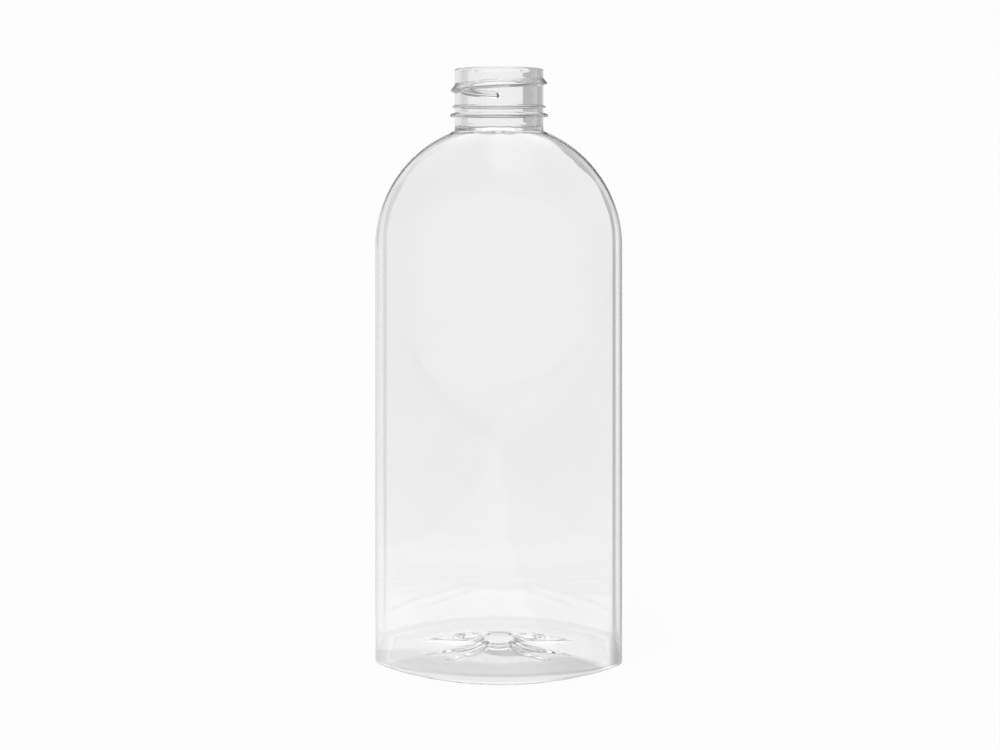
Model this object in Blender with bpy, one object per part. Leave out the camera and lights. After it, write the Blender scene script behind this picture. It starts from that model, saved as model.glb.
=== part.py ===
# Clear PET bottle with a lens-shaped body, a half-round arch shoulder, a round neck and a ribbed push-up base.
# It is modelled zone by zone, split at the level planes where the parts of its mould meet.
# Metres, +Z up, +Y through the flat of the body. The origin is on the table, under the middle of the base.

import math

import bmesh
import bpy

# Body: two bowed faces and two narrow flat side panels
body_width = 0.068
body_depth = 0.041
side_panel_width = 0.0174  # between the sharp edges that the corner rounding takes off
corner_radius = 0.0025
least_corner_radius = 0.0015  # for outlines set in further than the corner radius
side_height = 0.115  # from the table to where the shoulder arch springs
body_thickness = 0.0006

# Neck: a plain tube here, with its two rings
neck_diameter = 0.0251
neck_height = 0.0174
neck_thickness = 0.0017
rim_rounding = 0.0005
bead_diameter = 0.0265
bead_thickness = 0.0006
bead_drop = 0.0107  # from the rim to the middle of the bead's edge
bead_slope = 0.0002  # how far its top falls from the neck to the edge
transfer_ring_diameter = 0.0278
transfer_ring_thickness = 0.001
transfer_ring_drop = 0.0131
transfer_ring_slope = 0.0006

# Base: heel, standing ring, a floor just clear of the table, and the push-up with its ribs
base_height = 0.008
heel_radius = 0.0008
standing_ring_width = 0.003
floor_clearance = 0.0004
floor_thickness = 0.0008
push_up_height = 0.0023
push_up_side_margin = 0.0053  # from the floor's edge to the foot of the push-up, at the side panels
push_up_face_margin = 0.0068  # the same, at the bowed faces
crown_diameter = 0.0086
rib_bearings = (31, 58)  # degrees round the push-up in each quarter, from the side panel
rib_spread = 13  # degrees from a rib's crest to its foot
valley_power = 3  # how steeply the push-up falls between its ribs

# Two columns of facets flank each side panel, and one runs down the middle of each face
columns = 74
arch_steps = 14
round_steps = 4
push_up_steps = 6
thinning_power = 5  # how soon the wall thins below the neck
weld_distance = 0.000001

half_width = body_width / 2
half_depth = body_depth / 2
neck_radius = neck_diameter / 2
bore_radius = neck_radius - neck_thickness
arch_rise = math.sqrt(half_width**2 - neck_radius**2)
bearings = [2 * math.pi * (column + 0.5) / columns for column in range(columns)]


def lens_ring(width, depth, corner, inset, height):
    """The body's plan outline at one height. Each column faces the same way at every height."""
    bow = depth - side_panel_width / 2
    face_radius = (width**2 + bow**2) / (2 * bow)
    face_centre = depth - face_radius
    face_radius -= inset
    corner = max(corner - inset, least_corner_radius)
    reach = width - inset - corner
    rise = math.sqrt((face_radius - corner) ** 2 - reach**2)
    corner_turn = math.atan2(rise, reach)
    ring = []
    for bearing in bearings:
        along, across = math.cos(bearing), math.sin(bearing)
        if math.atan2(abs(across), abs(along)) < corner_turn:
            centre = (math.copysign(reach, along), math.copysign(face_centre + rise, across))
            radius = corner
        else:
            centre = (0, math.copysign(1, across) * face_centre)
            radius = face_radius
        ring.append((centre[0] + radius * along, centre[1] + radius * across, height))
    return ring


def body_ring(inset, height):
    return lens_ring(half_width, half_depth, corner_radius, inset, height)


def shoulder_ring(step, inner):
    """The front view of the shoulder is a half-round arch, and its side view is part of an ellipse."""
    end_angle = math.asin(arch_rise / half_width)
    angle = end_angle * step / arch_steps
    height = half_width * math.sin(angle)
    climb = height / arch_rise
    side_taper = 1 - (neck_radius / half_depth) ** 2
    depth = half_depth * math.sqrt(1 - side_taper * climb**2)
    corner = corner_radius + (neck_radius - corner_radius) * climb**2
    thickness = body_thickness + (neck_thickness - body_thickness) * climb**thinning_power
    return lens_ring(half_width * math.cos(angle), depth, corner, thickness if inner else 0, height)


def push_up_ring(share, lift):
    """One ring of the push-up: share 0 is its foot, an ellipse, and share 1 is the edge of its round crown."""
    margin = heel_radius + standing_ring_width + floor_clearance
    foot_length = half_width - margin - push_up_side_margin
    foot_depth = half_depth - margin - push_up_face_margin
    crown_radius = crown_diameter / 2
    length = foot_length + (crown_radius - foot_length) * share
    depth = foot_depth + (crown_radius - foot_depth) * share
    ring = []
    for bearing in bearings:
        along, across = math.cos(bearing), math.sin(bearing)
        quarter = math.degrees(math.atan2(abs(across), abs(along)))
        rib = sum(rib_share(abs(quarter - crest)) for crest in rib_bearings)
        valley = share**valley_power
        height = lift + push_up_height * (valley + (share - valley) * rib)
        ring.append((length * along, depth * across, height))
    return ring


def rib_share(degrees_off):
    """How much of a rib's height is left this far round from its crest."""
    if degrees_off >= rib_spread:
        return 0
    return math.cos(math.pi / 2 * degrees_off / rib_spread) ** 2


def rounding(inset, height, radius):
    """Insets and heights from a wall's foot round to the level below it."""
    for step in range(1, round_steps + 1):
        angle = math.pi / 2 * step / round_steps
        yield inset + radius * (1 - math.cos(angle)), height - radius * math.sin(angle)


def clear_pet(name):
    material = bpy.data.materials.new(name)
    material.use_nodes = True
    shader = material.node_tree.nodes["Principled BSDF"]
    shader.inputs["Base Color"].default_value = (0.9, 0.91, 0.91, 1)
    shader.inputs["Roughness"].default_value = 0.05
    shader.inputs["Metallic"].default_value = 0
    shader.inputs["Transmission Weight"].default_value = 0.9
    shader.inputs["IOR"].default_value = 1.57
    return material


def place(name, form, height, parent):
    bmesh.ops.recalc_face_normals(form, faces=form.faces)
    mesh = bpy.data.meshes.new(name)
    form.to_mesh(mesh)
    form.free()
    mesh.shade_smooth()
    mesh.set_sharp_from_angle(angle=math.radians(40))
    mesh.materials.append(clear_pet(name + "_pet"))
    zone = bpy.data.objects.new(name, mesh)
    zone.location.z = height
    zone.parent = parent
    bpy.context.scene.collection.objects.link(zone)
    return zone


def loft(rings, closes):
    """Extrudes the first ring on to each of the others. It ends back on the first, or else both ends are capped."""
    form = bmesh.new()
    loop = [form.verts.new(point) for point in rings[0]]
    first_edges = [form.edges.new(ends) for ends in zip(loop, loop[1:] + loop[:1])]
    edges = first_edges
    for ring in rings[1:] + rings[:1] if closes else rings[1:]:
        grown = bmesh.ops.extrude_edge_only(form, edges=edges)["geom"]
        new_corners = {corner for corner in grown if isinstance(corner, bmesh.types.BMVert)}
        edges = [edge for edge in grown if isinstance(edge, bmesh.types.BMEdge) and new_corners.issuperset(edge.verts)]
        grew_from = {edge.other_vert(corner): corner for corner in new_corners for edge in corner.link_edges}
        loop = [grew_from[corner] for corner in loop]
        for corner, point in zip(loop, ring):
            corner.co = point
    if closes:
        bmesh.ops.remove_doubles(form, verts=form.verts, dist=weld_distance)
    else:
        bmesh.ops.contextual_create(form, geom=first_edges)
        bmesh.ops.contextual_create(form, geom=edges)
    return form


def make_body_wall(parent):
    height = side_height - base_height
    rings = [body_ring(0, 0), body_ring(0, height), body_ring(body_thickness, height), body_ring(body_thickness, 0)]
    return place("body_wall", loft(rings, True), base_height, parent)


def make_shoulder(parent):
    outside = [shoulder_ring(step, False) for step in range(arch_steps + 1)]
    inside = [shoulder_ring(step, True) for step in range(arch_steps + 1)]
    return place("shoulder", loft(outside + inside[::-1], True), side_height, parent)


def base_skin(lift, wall_inset, radius):
    """From the top of the base's wall, round the heel and over the standing ring, to the edge of the crown."""
    ring_edge = heel_radius + standing_ring_width
    rings = [body_ring(wall_inset, base_height), body_ring(wall_inset, lift + radius)]
    rings += [body_ring(*place_on_heel) for place_on_heel in rounding(wall_inset, lift + radius, radius)]
    rings.append(body_ring(ring_edge, lift))
    rings.append(body_ring(ring_edge + floor_clearance, lift + floor_clearance))
    rings += [push_up_ring(step / push_up_steps, lift + floor_clearance) for step in range(push_up_steps + 1)]
    return rings


def make_base(parent):
    outside = base_skin(0, 0, heel_radius)
    inside = base_skin(floor_thickness, body_thickness, heel_radius - body_thickness)
    return place("base", loft(outside[::-1] + inside, False), 0, parent)


def quarter_turns(centre, level, radius, first, last):
    """Points of a rounded edge seen in profile, from one quarter turn to another."""
    steps = (last - first) * round_steps
    for step in range(steps + 1):
        angle = math.pi / 2 * (first + step / round_steps)
        yield centre + radius * math.cos(angle), level + radius * math.sin(angle)


def ring_profile(drop, diameter, thickness, slope):
    """A ring round the neck, from its underside over its rounded edge to the top of its sloping upper side."""
    middle = neck_height - drop
    edge = thickness / 2
    yield neck_radius, middle - edge
    yield from quarter_turns(diameter / 2 - edge, middle, edge, -1, 1)
    yield neck_radius, middle + edge + slope


def make_neck_finish(parent):
    rim_level = neck_height - rim_rounding
    profile = [(bore_radius, 0), (neck_radius, 0)]
    profile += ring_profile(
        transfer_ring_drop, transfer_ring_diameter, transfer_ring_thickness, transfer_ring_slope
    )
    profile += ring_profile(bead_drop, bead_diameter, bead_thickness, bead_slope)
    profile += quarter_turns(neck_radius - rim_rounding, rim_level, rim_rounding, 0, 1)
    profile += quarter_turns(bore_radius + rim_rounding, rim_level, rim_rounding, 1, 2)
    form = bmesh.new()
    corners = [form.verts.new((radius, 0, height)) for radius, height in profile]
    edges = [form.edges.new(ends) for ends in zip(corners, corners[1:] + corners[:1])]
    bmesh.ops.spin(
        form,
        geom=corners + edges,
        axis=(0, 0, 1),
        cent=(0, 0, 0),
        angle=2 * math.pi,
        steps=columns,
        use_merge=True,
    )
    neck = place("neck_finish", form, side_height + arch_rise, parent)
    neck.rotation_euler.z = bearings[0]
    return neck


for leftover in list(bpy.data.objects):
    bpy.data.objects.remove(leftover)

bottle = bpy.data.objects.new("bottle", None)
bpy.context.scene.collection.objects.link(bottle)
make_base(bottle)
make_body_wall(bottle)
make_shoulder(bottle)
make_neck_finish(bottle)
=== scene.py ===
# Clear PET bottle with an arched shoulder, a screw neck and a ribbed push-up base, on a pale studio sweep.
import math

import bmesh
import bpy
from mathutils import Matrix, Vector


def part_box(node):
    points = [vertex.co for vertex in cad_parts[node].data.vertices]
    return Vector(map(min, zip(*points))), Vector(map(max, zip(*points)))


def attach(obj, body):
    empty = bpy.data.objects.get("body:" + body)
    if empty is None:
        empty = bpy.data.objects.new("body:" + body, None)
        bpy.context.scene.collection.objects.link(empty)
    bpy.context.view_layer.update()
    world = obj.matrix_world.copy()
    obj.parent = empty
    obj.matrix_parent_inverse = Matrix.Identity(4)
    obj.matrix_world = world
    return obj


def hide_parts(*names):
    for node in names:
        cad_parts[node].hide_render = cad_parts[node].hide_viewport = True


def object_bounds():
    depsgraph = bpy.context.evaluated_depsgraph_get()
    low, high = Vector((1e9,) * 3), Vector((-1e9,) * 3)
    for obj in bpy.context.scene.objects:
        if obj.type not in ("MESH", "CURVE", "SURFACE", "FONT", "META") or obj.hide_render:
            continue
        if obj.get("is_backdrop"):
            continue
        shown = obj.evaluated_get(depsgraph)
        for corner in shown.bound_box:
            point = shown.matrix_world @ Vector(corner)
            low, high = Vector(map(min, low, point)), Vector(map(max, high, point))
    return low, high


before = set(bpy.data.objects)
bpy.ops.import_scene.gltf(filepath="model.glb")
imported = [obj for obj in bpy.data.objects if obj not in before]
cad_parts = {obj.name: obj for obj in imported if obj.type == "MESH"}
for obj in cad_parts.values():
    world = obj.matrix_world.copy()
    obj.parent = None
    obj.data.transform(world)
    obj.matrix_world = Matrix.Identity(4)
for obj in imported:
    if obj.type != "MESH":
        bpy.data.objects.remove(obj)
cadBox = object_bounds()
print("frame loaded:", ", ".join(sorted(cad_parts)))

# Levels and half sizes that the moulded shell takes from the CAD zones
halfWidth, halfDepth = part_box("body_wall")[1][:2]
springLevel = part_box("shoulder")[0][2]
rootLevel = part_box("neck_finish")[0][2]
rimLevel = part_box("neck_finish")[1][2]

shell = {
    "columns": 222,
    "neckRadius": 0.01255,
    "boreRadius": 0.01085,
    "panelHalf": 0.0087,  # half the narrow side panel, to its sharp edge
    "cornerRadius": 0.0025,
    "leastCorner": 0.0015,
    "wall": 0.0005,
    "shoulderWall": 0.00053,  # close under the neck
    "thinningPower": 8,  # how soon the wall thins below the neck
    "rimRounding": 0.0005,
    "rootFillet": 0.0004,
    "opensAbove": 0.0008,  # between these two levels round the neck's root the bore widens into the wall
    "opensBelow": 0.0009,
    "opening": 1.1,  # its slope above the root
    "ringTurn": 60,  # degrees up to which a neck ring's edge is round
    "threadZone": (0.0095, 0.001),  # depths below the rim, for the rows behind the thread
    "heelRadius": 0.0008,
    "standingRing": 0.003,
    "ringMargin": 0.0004,  # from the standing ring's last row to the heel's round
    "floorRise": 0.0001,
    "floorSlope": 0.005,  # how wide the slope from the standing ring to the floor is
    "floorWall": 0.0008,
    "bodyRows": 36,
    "archRows": 60,
    "threadRows": 12,
    "boreRows": 24,
    "openingRows": 8,
    "slopeRows": 12,
    "ringRows": 3,
    "heelSteps": 8,
    "roundSteps": 6,
    "slopeStep": 1e-5,  # between the two levels that give the arch's slope
    "weld": 2e-6,
    "sharpAngle": 50,
}

# From the lower ring up: drop of the edge below the rim, reach, edge thickness and fall of the upper side
neckRings = (
    {"drop": 0.0131, "radius": 0.0139, "edge": 0.001, "fall": 0.0003},
    {"drop": 0.0107, "radius": 0.01325, "edge": 0.0006, "fall": 0.0002},
)

pushUp = {
    "footLength": 0.0245,
    "footDepth": 0.0095,
    "crownRadius": 0.0043,
    "crownShares": (0.8, 0.9),  # of its radius: where its own rows end, and where the rows to the foot start
    "height": 0.0023,
    "thickening": 0.0004,  # the floor is this much thicker in the crown
    "ribs": (31, 58),  # degrees round the push-up from the side panel, in each quarter
    "ribSpread": 8,
    "valleyPower": 5,  # how steeply it falls between its ribs
    "crownRows": 4,
    "rows": 30,
}


def lensPoint(width, depth, corner, inset, turn):
    # Where the plan outline of one level faces the way that turn says
    bow = depth - shell["panelHalf"]
    faceRadius = (width**2 + bow**2) / (2 * bow)
    faceCentre = depth - faceRadius
    faceRadius -= inset
    corner = max(corner - inset, shell["leastCorner"])
    reach = width - inset - corner
    rise = math.sqrt(max((faceRadius - corner) ** 2 - reach**2, 0))
    along, across = math.cos(turn), math.sin(turn)
    side = math.copysign(1, across)
    if math.atan2(abs(across), abs(along)) < math.atan2(rise, reach):
        return math.copysign(reach, along) + corner * along, side * (faceCentre + rise) + corner * across
    return faceRadius * along, side * faceCentre + faceRadius * across


def archSize(level):
    # Half width, half depth and corner radius of the shoulder at one level
    climb = (level - springLevel) / (rootLevel - springLevel)
    width = math.sqrt(halfWidth**2 - (level - springLevel) ** 2)
    taper = 1 - (shell["neckRadius"] / halfDepth) ** 2
    depth = halfDepth * math.sqrt(1 - taper * climb**2)
    corner = shell["cornerRadius"] + (shell["neckRadius"] - shell["cornerRadius"]) * climb**2
    return width, depth, corner


def archWall(level):
    climb = (level - springLevel) / (rootLevel - springLevel)
    return shell["wall"] + (shell["shoulderWall"] - shell["wall"]) * climb ** shell["thinningPower"]


def archPoint(radius, level, turn):
    # The outside of the shoulder, and its inside with the wall measured square to the arch
    width, depth, corner = archSize(level)
    inset = width - radius
    if inset > shell["wall"] / 2:
        step = shell["slopeStep"]
        lowWidth, lowDepth = archSize(level - step)[:2]
        slopeAlong = (lowWidth - width) / step * math.cos(turn)
        slopeAcross = (lowDepth - depth) / step * math.sin(turn)
        inset *= math.hypot(1, math.hypot(slopeAlong, slopeAcross))
    return lensPoint(width, depth, corner, inset, turn)


def borePoint(level, turn):
    # The bore opens as a cone down to the neck's root, and on from there to the inside of the shoulder
    drop = rootLevel + shell["opensAbove"] - level
    radius = shell["boreRadius"] + shell["opening"] * min(drop, shell["opensAbove"])
    low = rootLevel - shell["opensBelow"]
    x, y = archPoint(archSize(low)[0] - archWall(low), low, turn)
    reach = math.hypot(x, y)
    radius += (reach - radius) * max(rootLevel - level, 0) / shell["opensBelow"]
    return x * radius / reach, y * radius / reach


def arcPoints(centre, level, radius, start, end, steps):
    # Profile points along an arc, from one angle to another in degrees
    for step in range(steps + 1):
        angle = math.radians(start + (end - start) * step / steps)
        yield centre + radius * math.cos(angle), level + radius * math.sin(angle)


def evenPoints(first, last, steps):
    for step in range(steps + 1):
        share = step / steps
        yield tuple(a + (b - a) * share for a, b in zip(first, last))


def floorProfile(wallInset, lift, heel):
    # From the middle of the base out to the top of the heel. The push-up is still flat here.
    ringIn = halfWidth - shell["heelRadius"] - shell["standingRing"]
    floorEdge = ringIn - shell["floorSlope"]
    floorLevel = lift + shell["floorRise"]
    crownEnd, footStart = (pushUp["crownRadius"] * share for share in pushUp["crownShares"])
    yield from evenPoints((0, floorLevel), (crownEnd, floorLevel), pushUp["crownRows"])
    yield from evenPoints((footStart, floorLevel), (pushUp["footLength"], floorLevel), pushUp["rows"])
    rows = shell["slopeRows"]
    for row in range(rows):
        sink = (1 - math.cos(math.pi * row / rows)) / 2
        yield floorEdge + (ringIn - floorEdge) * row / rows, floorLevel - shell["floorRise"] * sink
    heelCentre = halfWidth - wallInset - heel
    yield from evenPoints((ringIn, lift), (heelCentre - shell["ringMargin"], lift), shell["ringRows"])
    yield from arcPoints(heelCentre, lift + heel, heel, -90, 0, shell["heelSteps"])


def rootFillet():
    # A small concave round where the neck stands on the arch
    radius = shell["rootFillet"]
    reach = shell["neckRadius"] + radius
    angle = math.acos(reach / (halfWidth + radius))
    level = springLevel + (halfWidth + radius) * math.sin(angle)
    return list(arcPoints(reach, level, radius, 180 + math.degrees(angle), 180, shell["roundSteps"]))


def neckProfile():
    # Outside of the neck, from above its root fillet to the top of the rim
    radius = shell["neckRadius"]
    rim = shell["rimRounding"]
    steps = shell["roundSteps"]
    for ring in neckRings:
        middle = rimLevel - ring["drop"]
        half = ring["edge"] / 2
        yield radius, middle - half
        yield from arcPoints(ring["radius"] - half, middle, half, -90, shell["ringTurn"], steps)
        yield radius, middle + half + ring["fall"]
    low, high = (rimLevel - depth for depth in shell["threadZone"])
    yield from evenPoints((radius, low), (radius, high), shell["threadRows"])
    yield from arcPoints(radius - rim, rimLevel - rim, rim, 0, 90, steps)


def wholeProfile():
    # Up the outside from the middle of the base to the rim, and down the inside
    heel = shell["heelRadius"]
    points = list(floorProfile(0, 0, heel))
    points += list(evenPoints((halfWidth, heel), (halfWidth, springLevel), shell["bodyRows"]))[1:]
    topAngle = math.asin((rootLevel - springLevel) / halfWidth)
    rows = shell["archRows"]
    archAngles = [topAngle * (1 - (1 - row / rows) ** 2) for row in range(1, rows)]  # closer towards the neck
    for angle in archAngles:
        points.append((halfWidth * math.cos(angle), springLevel + halfWidth * math.sin(angle)))
    fillet = rootFillet()
    points = [point for point in points if point[1] < fillet[0][1]]
    points += fillet
    points += neckProfile()
    bore = shell["boreRadius"]
    rim = shell["rimRounding"]
    points += arcPoints(bore + rim, rimLevel - rim, rim, 90, 180, shell["roundSteps"])
    opening = rootLevel + shell["opensAbove"]
    points += list(evenPoints((bore, rimLevel - rim), (bore, opening), shell["boreRows"]))[1:]
    points += list(evenPoints((bore, opening), (bore, rootLevel), shell["openingRows"]))[1:]
    for angle in archAngles[::-1]:
        level = springLevel + halfWidth * math.sin(angle)
        points.append((halfWidth * math.cos(angle) - archWall(level), level))
    floor = list(floorProfile(shell["wall"], shell["floorWall"], heel - shell["wall"]))
    wallLine = halfWidth - shell["wall"]
    points += evenPoints((wallLine, springLevel), (wallLine, floor[-1][1]), shell["bodyRows"])
    return points + floor[-2::-1]


def ribShare(quarter):
    # How much of a rib's crest is left this many degrees from the side panel
    share = 0
    for crest in pushUp["ribs"]:
        off = abs(quarter - crest) / pushUp["ribSpread"]
        if off < 1:
            share = max(share, math.cos(math.pi / 2 * off) ** 2)
    return share


def pushUpPoint(radius, turn, height):
    # A point of the push-up, and how far it stands above the floor round it
    foot = pushUp["footLength"]
    crown = pushUp["crownRadius"]
    share = min((foot - radius) / (foot - crown), 1)
    depth = pushUp["footDepth"] + (crown - pushUp["footDepth"]) * share
    if radius < crown:
        depth = radius
    along, across = math.cos(turn), math.sin(turn)
    rib = ribShare(math.degrees(math.atan2(abs(across), abs(along))))
    valley = share ** pushUp["valleyPower"]
    return radius * along, depth * across, height * (valley + (share - valley) * rib)


def insideShoulder(radius, level):
    # Whether a point of the round shell is on the inner side of the shoulder
    return level < rootLevel and archSize(level)[0] - radius > shell["wall"] / 2


def shapeShell(form):
    # Turns the round spun shell into the lens-shaped body, zone by zone
    for corner in form.verts:
        x, y, level = corner.co
        radius = math.hypot(x, y)
        turn = math.atan2(y, x)
        widens = rootLevel - shell["opensBelow"] < level < rootLevel + shell["opensAbove"]
        if widens and (radius < shell["neckRadius"] - shell["wall"] or insideShoulder(radius, level)):
            corner.co = *borePoint(level, turn), level
        elif level >= rootLevel:
            continue
        elif radius < pushUp["footLength"] + shell["weld"] and level < springLevel / 2:
            height = pushUp["height"] + (pushUp["thickening"] if level > shell["floorWall"] else 0)
            if radius < shell["weld"]:
                corner.co.z += height
                continue
            x, y, rise = pushUpPoint(radius, turn, height)
            corner.co = x, y, level + rise
        elif level > springLevel:
            corner.co = *archPoint(radius, level, turn), level
        else:
            x, y = lensPoint(halfWidth, halfDepth, shell["cornerRadius"], halfWidth - radius, turn)
            corner.co = x, y, level


def meshOf(form, name):
    bmesh.ops.recalc_face_normals(form, faces=form.faces)
    mesh = bpy.data.meshes.new(name)
    form.to_mesh(mesh)
    form.free()
    return mesh


def addObject(name, data):
    thing = bpy.data.objects.new(name, data)
    bpy.context.scene.collection.objects.link(thing)
    return thing


def makeShell():
    form = bmesh.new()
    turn = math.pi / shell["columns"]  # half a column, so that a facet faces each side panel
    along, across = math.cos(turn), math.sin(turn)
    corners = [form.verts.new((radius * along, radius * across, level)) for radius, level in wholeProfile()]
    edges = [form.edges.new(ends) for ends in zip(corners, corners[1:])]
    bmesh.ops.spin(
        form,
        geom=corners + edges,
        cent=(0, 0, 0),
        axis=(0, 0, 1),
        angle=2 * math.pi,
        steps=shell["columns"],
        use_merge=True,
    )
    bmesh.ops.remove_doubles(form, verts=form.verts, dist=shell["weld"])
    shapeShell(form)
    return addObject("bottle_shell", meshOf(form, "bottle_shell"))


bottleShell = makeShell()
print("shell:", len(bottleShell.data.polygons), "faces")

screwThread = {
    "pitch": 0.00423,
    "tailTurn": 90,  # degrees round from +X, so at the middle of the back
    "headTurn": 483,
    "leftDrop": 0.006,  # from the rim to the middle of the thread's edge, at the left
    "radius": 0.01365,
    "edge": 0.00035,
    "edgeLevel": -0.0001,
    "edgeArc": (-60, 50),
    "edgeSteps": 6,
    "under": 0.00085,  # how far its root reaches below and above the middle of the ridge
    "over": 0.0014,
    "lowerShares": (0.2, 0.8),  # a point on each flank, as shares of the ridge's height and of that reach
    "upperShares": (0.25, 0.72),
    "sink": 0.0003,  # how deep it goes into the neck's wall, where it is a little wider
    "sunkShare": 1.05,
    "tailLength": 6,  # degrees over which each end rises from the neck
    "headLength": 80,
    "headPower": 0.7,
    "stepTurn": 2,
}


def threadOutline():
    # One section of the buttress-shaped ridge: radius, and level above the middle of the ridge
    spec = screwThread
    root = shell["neckRadius"]
    height = spec["radius"] - root
    lowOut, lowReach = spec["lowerShares"]
    highOut, highReach = spec["upperShares"]
    yield root - spec["sink"], -spec["under"] * spec["sunkShare"]
    yield root, -spec["under"]
    yield root + height * lowOut, -spec["under"] * lowReach
    edge = spec["edge"]
    start, end = spec["edgeArc"]
    yield from arcPoints(spec["radius"] - edge, spec["edgeLevel"], edge, start, end, spec["edgeSteps"])
    yield root + height * highOut, spec["over"] * highReach
    yield root, spec["over"]
    yield root - spec["sink"], spec["over"] * spec["sunkShare"]


def makeThread():
    # The ridge is wound by a spin that climbs, and its ends are then rounded off into the neck
    spec = screwThread
    outline = list(threadOutline())
    sunk = shell["neckRadius"] - spec["sink"]
    sweep = spec["headTurn"] - spec["tailTurn"]
    steps = round(sweep / spec["stepTurn"])
    climb = spec["pitch"] * sweep / 360
    form = bmesh.new()
    corners = [form.verts.new((radius, 0, level)) for radius, level in outline]
    edges = [form.edges.new(ends) for ends in zip(corners, corners[1:] + corners[:1])]
    bmesh.ops.spin(
        form,
        geom=corners + edges,
        cent=(0, 0, 0),
        axis=(0, 0, 1),
        dvec=(0, 0, climb / steps),
        angle=math.radians(sweep),
        steps=steps,
    )
    for number, corner in enumerate(form.verts):
        step, place = divmod(number, len(outline))
        tail = min(step * spec["stepTurn"] / spec["tailLength"], 1)
        head = min((steps - step) * spec["stepTurn"] / spec["headLength"], 1)
        size = math.sqrt(1 - (1 - tail) ** 2) * head ** spec["headPower"]
        turn = spec["tailTurn"] + sweep * step / steps
        angle = math.radians(turn)
        radius, level = outline[place]
        radius = sunk + (radius - sunk) * size
        middle = rimLevel - spec["leftDrop"] + spec["pitch"] * (turn - 180) / 360
        corner.co = radius * math.cos(angle), radius * math.sin(angle), middle + level * size
    bmesh.ops.remove_doubles(form, verts=form.verts, dist=shell["weld"])
    return meshOf(form, "thread")


def unite(piece, mesh):
    # Joins a closed form to a piece for good
    joined = addObject("joined", mesh)
    union = piece.modifiers.new("joined", "BOOLEAN")
    union.operation = "UNION"
    union.object = joined
    bpy.context.view_layer.update()
    whole = bpy.data.meshes.new_from_object(piece.evaluated_get(bpy.context.evaluated_depsgraph_get()))
    piece.modifiers.clear()
    piece.data = whole
    bpy.data.objects.remove(joined)


threadMesh = makeThread()
print("thread:", len(threadMesh.polygons), "faces")
unite(bottleShell, threadMesh)
print("shell with thread:", len(bottleShell.data.polygons), "faces")

pet = {
    "darkest": (0.977, 0.977, 0.977),
    "lightest": (0.985, 0.985, 0.985),
    "cloudScale": 30,
    "cloudDetail": 2,
    "cloudSpread": (0.35, 0.65),
    "roughness": 0.02,
    "ior": 1.57,
}


def makePet():
    # Clear plastic, with a faint drift between two greys over the moulded wall
    material = bpy.data.materials.new("clearPet")
    material.use_nodes = True
    tree = material.node_tree
    coords = tree.nodes.new("ShaderNodeTexCoord")
    cloud = tree.nodes.new("ShaderNodeTexNoise")
    cloud.inputs["Scale"].default_value = pet["cloudScale"]
    cloud.inputs["Detail"].default_value = pet["cloudDetail"]
    ramp = tree.nodes.new("ShaderNodeValToRGB")
    greys = (pet["darkest"], pet["lightest"])
    for stop, place, grey in zip(ramp.color_ramp.elements, pet["cloudSpread"], greys):
        stop.position = place
        stop.color = (*grey, 1)
    shader = tree.nodes["Principled BSDF"]
    shader.inputs["Roughness"].default_value = pet["roughness"]
    shader.inputs["IOR"].default_value = pet["ior"]
    shader.inputs["Transmission Weight"].default_value = 1
    tree.links.new(coords.outputs["Object"], cloud.inputs["Vector"])
    tree.links.new(cloud.outputs["Fac"], ramp.inputs["Fac"])
    tree.links.new(ramp.outputs["Color"], shader.inputs["Base Color"])
    return material


bottleShell.data.materials.append(makePet())
bottleShell.data.shade_smooth()
bottleShell.data.set_sharp_from_angle(angle=math.radians(shell["sharpAngle"]))
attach(bottleShell, "root")
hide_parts("base", "body_wall", "shoulder", "neck_finish")


def feed(tree, value, socket):
    # Gives a socket a number, or links another socket to it
    if isinstance(value, (int, float)):
        socket.default_value = value
    else:
        tree.links.new(value, socket)


def combine(tree, operation, first, second):
    node = tree.nodes.new("ShaderNodeMath")
    node.operation = operation
    feed(tree, first, node.inputs[0])
    feed(tree, second, node.inputs[1])
    return node.outputs[0]


def product(tree, first, *others):
    for other in others:
        first = combine(tree, "MULTIPLY", first, other)
    return first


def sizeOf(tree, value):
    # A value without its sign
    return combine(tree, "MAXIMUM", value, combine(tree, "SUBTRACT", 0, value))


def rampOf(tree, socket, stops):
    # Eases from level to level along one axis, in stops of place and level
    start, end = stops[0][0], stops[-1][0]
    reach = tree.nodes.new("ShaderNodeMapRange")
    reach.inputs["From Min"].default_value = start
    reach.inputs["From Max"].default_value = end
    ramp = tree.nodes.new("ShaderNodeValToRGB")
    ramp.color_ramp.interpolation = "EASE"
    ends = ramp.color_ramp.elements
    for number, (place, level) in enumerate(stops):
        share = (place - start) / (end - start)
        stop = ends[0] if number == 0 else ends[-1] if number == len(stops) - 1 else ends.new(share)
        stop.position = share
        stop.color = (level, level, level, 1)
    tree.links.new(socket, reach.inputs["Value"])
    tree.links.new(reach.outputs[0], ramp.inputs["Fac"])
    return ramp.outputs["Color"]


def mixed(tree, share, first, second):
    node = tree.nodes.new("ShaderNodeMixShader")
    tree.links.new(share, node.inputs["Fac"])
    tree.links.new(first.outputs[0], node.inputs[1])
    tree.links.new(second.outputs[0], node.inputs[2])
    return node


def lightOf(tree, kind, strength):
    # White light from a background or a surface, of one strength or of what a socket gives
    node = tree.nodes.new(kind)
    node.inputs["Color"].default_value = (1, 1, 1, 1)
    feed(tree, strength, node.inputs["Strength"])
    return node


def axesOf(tree, socket):
    axes = tree.nodes.new("ShaderNodeSeparateXYZ")
    tree.links.new(socket, axes.inputs[0])
    return [axes.outputs[name] for name in "XYZ"]


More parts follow.
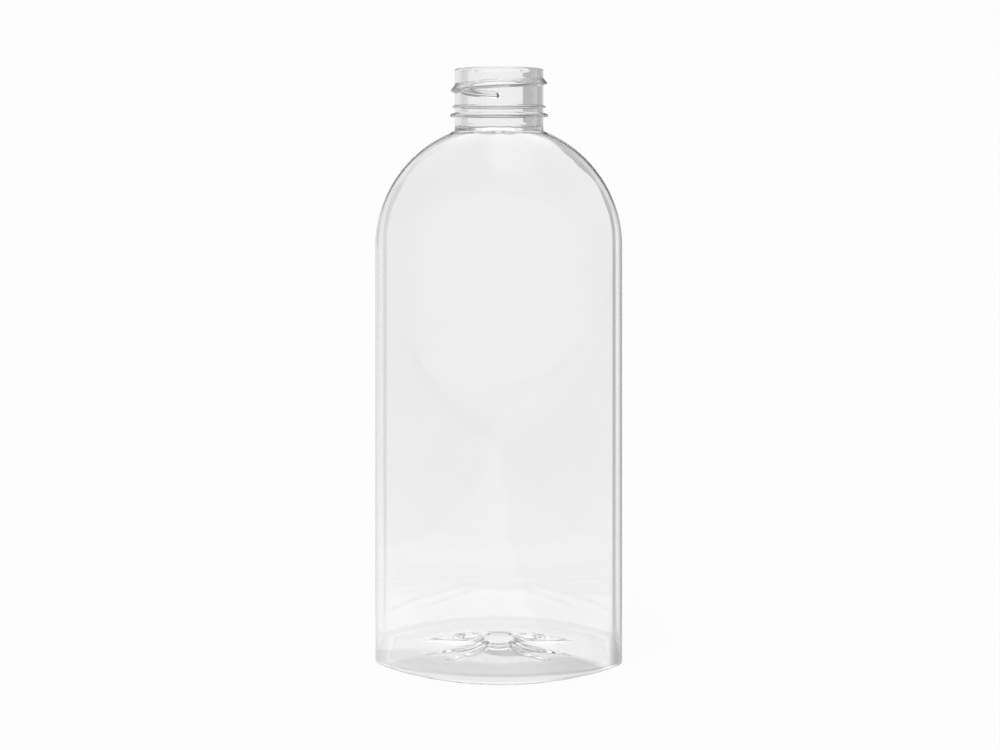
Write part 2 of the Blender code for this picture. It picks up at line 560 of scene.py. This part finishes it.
# Painted shadow and painted light on the table, for the bottle's own shadow and the light that it gathers
underBottle = {
    "shade": 0.165,  # how dark the painted shadow is, under the front half
    "shadeFront": ((-0.021, 0.5), (-0.0172, 0.5), (-0.0157, 1.6), (-0.0142, 1)),
    "shadeCurve": 5.4,
    "shadeBack": ((-0.003, 1), (0.0003, 0)),
    "shadeSlant": 0.72,
    "shadeCorner": 0.0155,
    "shadeRight": ((0.006, 1), (0.022, 1.6)),
    "glow": 0.15,  # how much brighter the painted light makes the table under the back half
    "glowCurve": 10,
    "glowBack": ((-0.001, 0), (0.001, 1), (0.016, 1), (0.0175, 0)),
    "glowSides": ((0.029, 1), (0.0325, 0)),
    "contactShadow": 0.3,  # how dark the painted shadow is under the push-up
    "contactMiddle": (0.0025, -0.0018),
    "contactSize": (0.0075, 0.0034),
    "contactSpread": ((0.5, 1), (1.1, 0)),
}


def shadeUnder(tree, x, y):
    # Painted shadow with a bowed edge in front, and behind a straight one that runs to the right corner
    spec = underBottle
    squared = product(tree, x, x)
    front = combine(tree, "SUBTRACT", y, product(tree, squared, spec["shadeCurve"]))
    corner = combine(tree, "MAXIMUM", combine(tree, "SUBTRACT", x, spec["shadeCorner"]), 0)
    back = combine(tree, "ADD", y, product(tree, corner, spec["shadeSlant"]))
    edges = (rampOf(tree, front, spec["shadeFront"]), rampOf(tree, back, spec["shadeBack"]))
    shade = product(tree, *edges, rampOf(tree, x, spec["shadeRight"]), spec["shade"])
    # A painted shadow under the push-up
    offs = []
    for axis, middle, size in zip((x, y), spec["contactMiddle"], spec["contactSize"]):
        off = combine(tree, "DIVIDE", combine(tree, "SUBTRACT", axis, middle), size)
        offs.append(product(tree, off, off))
    contactShadow = rampOf(tree, combine(tree, "ADD", *offs), spec["contactSpread"])
    shade = combine(tree, "ADD", shade, product(tree, contactShadow, spec["contactShadow"]))
    # Painted light that brightens the table under the back half
    behind = combine(tree, "ADD", y, product(tree, squared, spec["glowCurve"]))
    glow = rampOf(tree, behind, spec["glowBack"])
    glow = product(tree, glow, rampOf(tree, sizeOf(tree, x), spec["glowSides"]), spec["glow"])
    return combine(tree, "SUBTRACT", shade, glow)


paper = {
    "colour": (0.8, 0.8, 0.8),
    "roughness": 0.9,
    "selfWhite": 0.95,  # how much of its white it has by itself, to the camera
    # Painted light levels across, along and up the paper
    "alongX": ((-0.15, 0.8), (-0.042, 0.82), (-0.035, 1), (0.0345, 1), (0.0375, 0.52), (0.15, 0.45)),
    "alongY": ((-0.28, 0.4), (-0.12, 0.5), (-0.045, 0.7), (-0.03, 1), (0.9, 1)),
    "alongZ": ((0, 1), (0.265, 1), (0.285, 0.27), (0.6, 0.25), (0.8, 0.5), (1.6, 0.6)),
    "startsAt": 0.88,  # how wide the painted lit part is level with the bottle's middle, as a share of alongX
    "widening": 3.45,  # how fast it widens behind that, to the metre
    "upperShift": 0.0117,  # and how far it shifts to the left, above the bottle's shoulder
    "shiftAlongZ": ((0.13, 0), (0.142, 1)),
    "evenLevel": 0.93,  # in front of the bottle and beside it the light is even, seen straight through it
    "evenY": ((-0.035, 1), (-0.022, 0)),
    "evenX": ((0.07, 0), (0.11, 1)),
    "evenSlope": 1.2,  # the even part beside the bottle starts further out, the further back
}

halfBounce = 0.5  # a ray that was mirrored has a glossy depth above this


def paperLight(tree, x, y, z, path):
    # Light painted on the table and backdrop, falling off to the right, upwards and to the front
    shift = product(tree, rampOf(tree, z, paper["shiftAlongZ"]), paper["upperShift"])
    widening = combine(tree, "ADD", product(tree, y, paper["widening"]), paper["startsAt"])
    across = combine(tree, "ADD", combine(tree, "DIVIDE", x, widening), shift)
    places = ((across, "alongX"), (y, "alongY"), (z, "alongZ"))
    lit = product(tree, *(rampOf(tree, place, paper[name]) for place, name in places))
    lit = product(tree, lit, combine(tree, "SUBTRACT", 1, shadeUnder(tree, x, y)))
    aside = combine(tree, "SUBTRACT", sizeOf(tree, x), product(tree, y, paper["evenSlope"]))
    even = combine(tree, "MAXIMUM", rampOf(tree, y, paper["evenY"]), rampOf(tree, aside, paper["evenX"]))
    straight = combine(tree, "LESS_THAN", path.outputs["Glossy Depth"], halfBounce)
    return combine(tree, "MAXIMUM", lit, product(tree, even, straight, paper["evenLevel"]))


def makePaper():
    # White to the camera, with painted light of its own for what is seen through the bottle or mirrored in it
    material = bpy.data.materials.new("sweepPaper")
    material.use_nodes = True
    tree = material.node_tree
    shader = tree.nodes["Principled BSDF"]
    shader.inputs["Base Color"].default_value = (*paper["colour"], 1)
    shader.inputs["Roughness"].default_value = paper["roughness"]
    shader.inputs["Specular IOR Level"].default_value = 0
    coords = tree.nodes.new("ShaderNodeTexCoord")
    path = tree.nodes.new("ShaderNodeLightPath")
    light = paperLight(tree, *axesOf(tree, coords.outputs["Object"]), path)
    white = lightOf(tree, "ShaderNodeEmission", 1)
    toCamera = product(tree, path.outputs["Is Camera Ray"], paper["selfWhite"])
    glassy = combine(tree, "MAXIMUM", path.outputs["Is Glossy Ray"], path.outputs["Is Transmission Ray"])
    seen = mixed(tree, toCamera, shader, white)
    whole = mixed(tree, glassy, seen, lightOf(tree, "ShaderNodeEmission", light))
    tree.links.new(whole.outputs[0], tree.nodes["Material Output"].inputs["Surface"])
    return material


sweepShape = {
    "halfWidth": 1.2,
    "front": -0.29,
    "back": 0.9,
    "height": 1.6,
    "curve": 0.35,
    "curveSteps": 16,
}


def makeSweep():
    # Paper that runs along the floor and curves up behind the bottle
    spec = sweepShape
    curve = spec["curve"]
    path = [(spec["front"], 0)]
    path += arcPoints(spec["back"] - curve, curve, curve, -90, 0, spec["curveSteps"])
    path.append((spec["back"], spec["height"]))
    form = bmesh.new()
    corners = [form.verts.new((-spec["halfWidth"], y, z)) for y, z in path]
    edges = [form.edges.new(ends) for ends in zip(corners, corners[1:])]
    grown = bmesh.ops.extrude_edge_only(form, edges=edges)["geom"]
    moved = [corner for corner in grown if isinstance(corner, bmesh.types.BMVert)]
    bmesh.ops.translate(form, verts=moved, vec=(2 * spec["halfWidth"], 0, 0))
    sweep = addObject("paper_sweep", meshOf(form, "paper_sweep"))
    sweep.data.shade_smooth()
    sweep.data.materials.append(makePaper())
    sweep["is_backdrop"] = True


room = {
    "plainLevel": 0.75,  # what lights the paper
    "straightX": ((-1, 0.72), (-0.6, 0.8), (0.4, 0.8), (0.7, 0.4), (1, 0.32)),
    "evenY": ((0.2, 1), (0.4, 0)),  # towards the front and the sides it is as even as the paper there
    "mirroredX": ((-1, 0.5), (-0.85, 0.55), (-0.7, 1), (0.3, 1), (0.7, 0.75), (1, 0.65)),
    "mirroredY": ((-1, 0.38), (-0.6, 0.4), (0, 0.65), (0.4, 0.9), (1, 0.95)),
    "mirroredZ": (
        (-1, 1), (0.2, 1), (0.5, 0.6), (0.79, 0.6), (0.84, 1.3), (0.92, 1.5), (0.96, 2.5), (1, 2.5),
    ),
    "softbox": (0.12, -0.66, 0.74),  # towards it, from the bottle
    "softboxSpread": ((0.93, 0), (0.99, 1)),
    "softboxLevel": 0.35,
}


def makeRoom():
    # White to the camera. What shows straight through the bottle darkens to the right, behind the bottle.
    # Its reflections see a room that is dim in front, with one soft round light above.
    world = bpy.data.worlds.new("studio")
    bpy.context.scene.world = world
    world.use_nodes = True
    tree = world.node_tree
    tree.nodes.clear()
    output = tree.nodes.new("ShaderNodeOutputWorld")
    path = tree.nodes.new("ShaderNodeLightPath")
    bearing = tree.nodes.new("ShaderNodeTexCoord").outputs["Generated"]
    x, y, z = axesOf(tree, bearing)
    places = ((x, "mirroredX"), (y, "mirroredY"), (z, "mirroredZ"))
    mirrored = product(tree, *(rampOf(tree, place, room[name]) for place, name in places))
    toLight = tree.nodes.new("ShaderNodeVectorMath")
    toLight.operation = "DOT_PRODUCT"
    toLight.inputs[1].default_value = Vector(room["softbox"]).normalized()
    tree.links.new(bearing, toLight.inputs[0])
    spot = rampOf(tree, toLight.outputs["Value"], room["softboxSpread"])
    mirrored = combine(tree, "ADD", mirrored, product(tree, spot, room["softboxLevel"]))
    even = product(tree, rampOf(tree, y, room["evenY"]), paper["evenLevel"])
    straight = combine(tree, "MAXIMUM", rampOf(tree, x, room["straightX"]), even)
    levels = (1, room["plainLevel"], straight, mirrored)
    white, plain, through, dim = (lightOf(tree, "ShaderNodeBackground", level) for level in levels)
    isMirrored = combine(tree, "GREATER_THAN", path.outputs["Glossy Depth"], halfBounce)
    unmirrored = mixed(tree, path.outputs["Is Transmission Ray"], plain, through)
    whole = mixed(tree, path.outputs["Is Camera Ray"], mixed(tree, isMirrored, unmirrored, dim), white)
    tree.links.new(whole.outputs[0], output.inputs["Surface"])


topLamp = {
    "place": (-0.25, -0.2, 1),
    "aim": (0, 0, 0.05),
    "size": 0.5,
    "power": 2.5,
}


def makeTopLamp():
    # It lights the paper, and the bottle neither mirrors it nor lets it show
    light = bpy.data.lights.new("top_softbox", "AREA")
    light.shape = "RECTANGLE"
    light.size = light.size_y = topLamp["size"]
    light.energy = topLamp["power"]
    lamp = addObject("top_softbox", light)
    place = Vector(topLamp["place"])
    lamp.location = place
    lamp.rotation_euler = (Vector(topLamp["aim"]) - place).to_track_quat("-Z", "Y").to_euler()
    lamp.visible_glossy = False
    lamp.visible_transmission = False


makeSweep()
makeRoom()
makeTopLamp()
print("studio set")

view = {
    "distance": 0.305,
    "level": 0.144,
    "turn": 0.8,  # degrees to the right of straight in front
    "focalPixels": 1079.3,
    "framePixels": 1000,
    "horizonRow": 140,
    "middleRow": 375,
    "bottleColumn": 499,
    "sensor": 36,  # millimetres, as the camera takes them
}


def makeCamera():
    data = bpy.data.cameras.new("camera")
    data.sensor_width = view["sensor"]
    data.lens = view["focalPixels"] / view["framePixels"] * data.sensor_width
    data.shift_x = (view["framePixels"] / 2 - view["bottleColumn"]) / view["framePixels"]
    data.shift_y = (view["horizonRow"] - view["middleRow"]) / view["framePixels"]
    camera = addObject("camera", data)
    turn = math.radians(view["turn"])
    camera.location = (view["distance"] * math.sin(turn), -view["distance"] * math.cos(turn), view["level"])
    camera.rotation_euler = (math.pi / 2, 0, turn)
    bpy.context.scene.camera = camera


makeCamera()
bpy.context.scene.view_settings.view_transform = "Standard"
lightBounces = 64
lightPaths = bpy.context.scene.cycles
lightPaths.max_bounces = lightBounces
lightPaths.transmission_bounces = lightBounces
lightPaths.glossy_bounces = lightBounces

[[list(corner) for corner in box] for box in (cadBox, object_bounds())]
